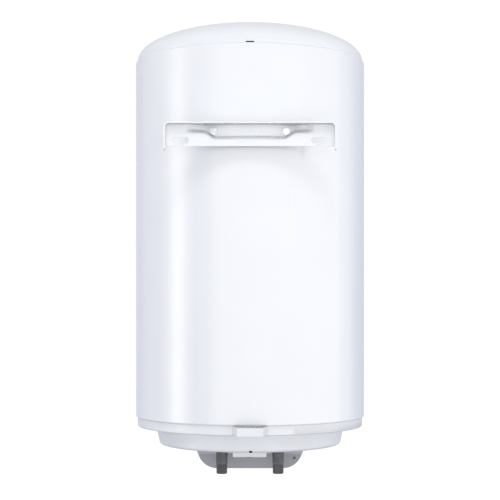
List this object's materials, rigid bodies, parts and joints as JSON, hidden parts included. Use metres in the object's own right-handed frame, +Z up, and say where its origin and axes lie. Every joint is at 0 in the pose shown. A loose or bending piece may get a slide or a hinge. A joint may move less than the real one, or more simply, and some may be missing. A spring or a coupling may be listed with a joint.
{
  "type": "tank water heater",
  "caption": "Wall-hung electric storage water heater with a round jacket, slotted rear hanger, two pipe stubs below and a grey control housing.",
  "frame": {"origin": "centre of the two T-slots in the wall bracket, on the bracket face that lies towards the wall", "axes": "+Z up, +Y towards the wall, so the front of the heater faces -Y; the tank axis is at y = -0.233 m"},
  "size_m": [0.44, 0.467, 0.8467],
  "materials": {
    "jacket_enamel": "gloss",
    "cap_white": "gloss",
    "moulded_white": "satin",
    "housing_grey": "matte",
    "knob_white": "satin",
    "bracket_enamel": "satin",
    "zinc_steel": "satin",
    "pipe_dark": "satin",
    "tank_enamel": "satin",
    "stainless": "satin",
    "element_copper": "satin",
    "brass": "satin",
    "magnesium": "matte",
    "black_rubber": "matte",
    "foam": "matte",
    "thermostat_black": "matte",
    "nylon": "satin",
    "reset_red": "satin",
    "lamp_amber": "gloss",
    "insulation_brown": "satin",
    "insulation_blue": "satin",
    "insulation_earth": "satin",
    "insulation_black": "satin"
  },
  "bodies": {
    "heater": {"outer_jacket": "jacket_enamel", "top_cap": "cap_white", "bottom_rim": "moulded_white", "lower_cover": "moulded_white", "cable_entry_box": "moulded_white", "cable_gland": "black_rubber", "nipple_grommets": "black_rubber", "control_housing": "housing_grey", "cover_screws": "zinc_steel", "housing_screws": "zinc_steel", "pilot_lamp_lens": "lamp_amber", "pilot_lamp_body": "nylon", "wall_bracket": "bracket_enamel", "bracket_bolts": "zinc_steel", "bracket_washers": "zinc_steel", "bracket_bosses": "zinc_steel", "tank_shell": "tank_enamel", "tank_top_head": "tank_enamel", "tank_bottom_head": "tank_enamel", "cold_inlet_nipple": "pipe_dark", "hot_outlet_nipple": "pipe_dark", "hot_dip_tube": "stainless", "inlet_diffuser": "nylon", "flange_neck": "tank_enamel", "flange_studs": "zinc_steel", "flange_gasket": "black_rubber", "flange_nuts": "zinc_steel", "heater_flange": "stainless", "heating_element": "element_copper", "element_terminals": "brass", "thermostat_pocket": "stainless", "magnesium_anode": "magnesium", "anode_nut": "zinc_steel", "earth_screw": "brass", "thermostat_body": "thermostat_black", "thermostat_rod": "stainless", "terminal_block": "nylon", "terminal_screws": "brass", "lead_phase": "insulation_brown", "lead_neutral": "insulation_blue", "lead_earth": "insulation_earth", "lamp_leads": "insulation_black", "foam_insulation": "foam"},
    "knob": {"control_knob": "knob_white", "thermostat_spindle": "stainless"},
    "reset": {"reset_button": "reset_red"}
  },
  "joints": [
    {"name": "knob_turn", "type": "hinge", "parent": "heater", "child": "knob", "pos_m": [0, -0.258, -0.5965], "axis": [0, 0, 1], "range_deg": [0, 270]},
    {"name": "reset_press", "type": "slide", "parent": "heater", "child": "reset", "axis": [0, 0, 1], "range_m": [0, 0.0015], "stiffness_N_per_m": 400, "springref_m": -0.001}
  ]
}
